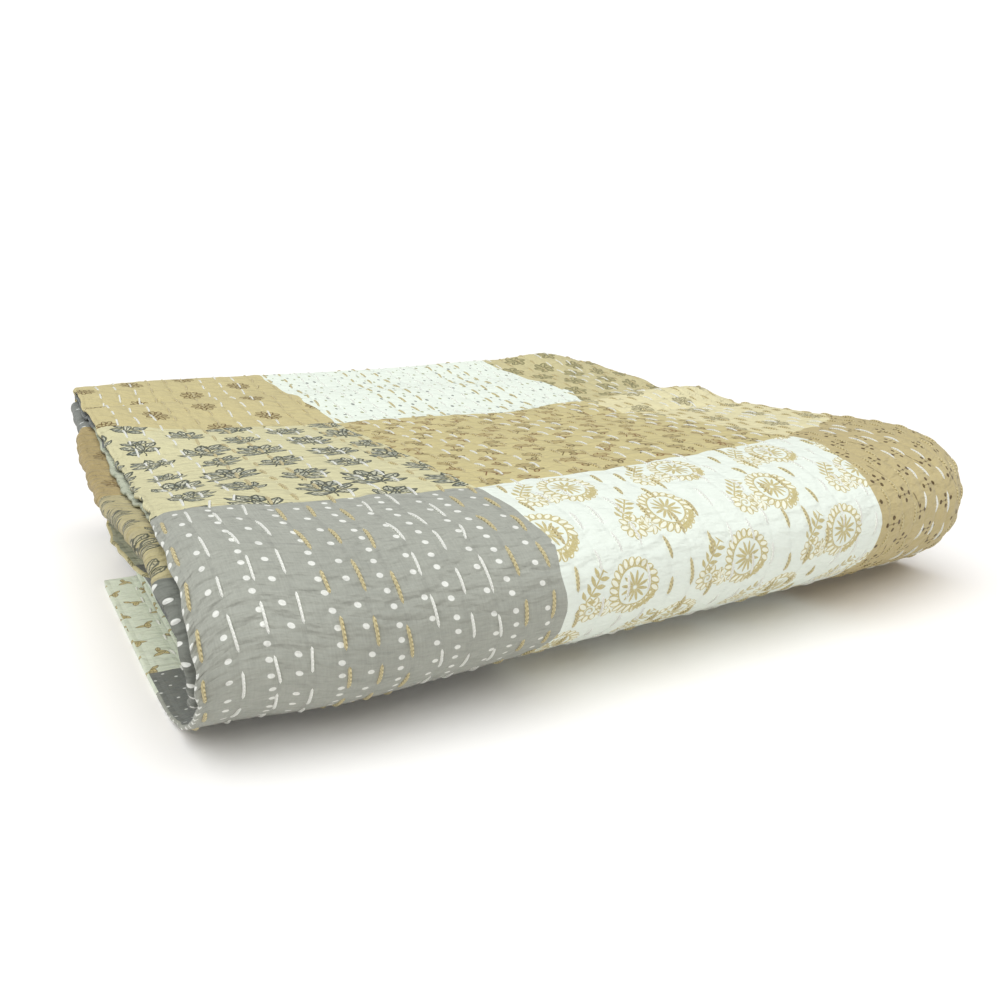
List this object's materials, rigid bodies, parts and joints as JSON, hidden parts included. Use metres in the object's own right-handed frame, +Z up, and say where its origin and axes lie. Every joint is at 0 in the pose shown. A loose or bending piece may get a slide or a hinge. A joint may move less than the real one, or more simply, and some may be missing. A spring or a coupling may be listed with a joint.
{
  "type": "kantha quilt",
  "caption": "Patchwork kantha quilt of block-printed cotton with rows of running stitch, folded into a flat pile with a round front fold.",
  "frame": {"origin": "middle of the footprint, on the surface that the folded quilt rests on", "axes": "+X along the round front fold, away from the end where the layers show; +Y from the round fold to the back folds; +Z up"},
  "size_m": [0.5829, 0.5306, 0.1478],
  "materials": {
    "printed_cotton": "matte block-printed cotton",
    "gold_thread": "twisted embroidery cotton with a soft shine",
    "white_thread": "twisted embroidery cotton with a soft shine"
  },
  "bodies": {
    "root": {"quilt": "printed_cotton"}
  },
  "joints": []
}
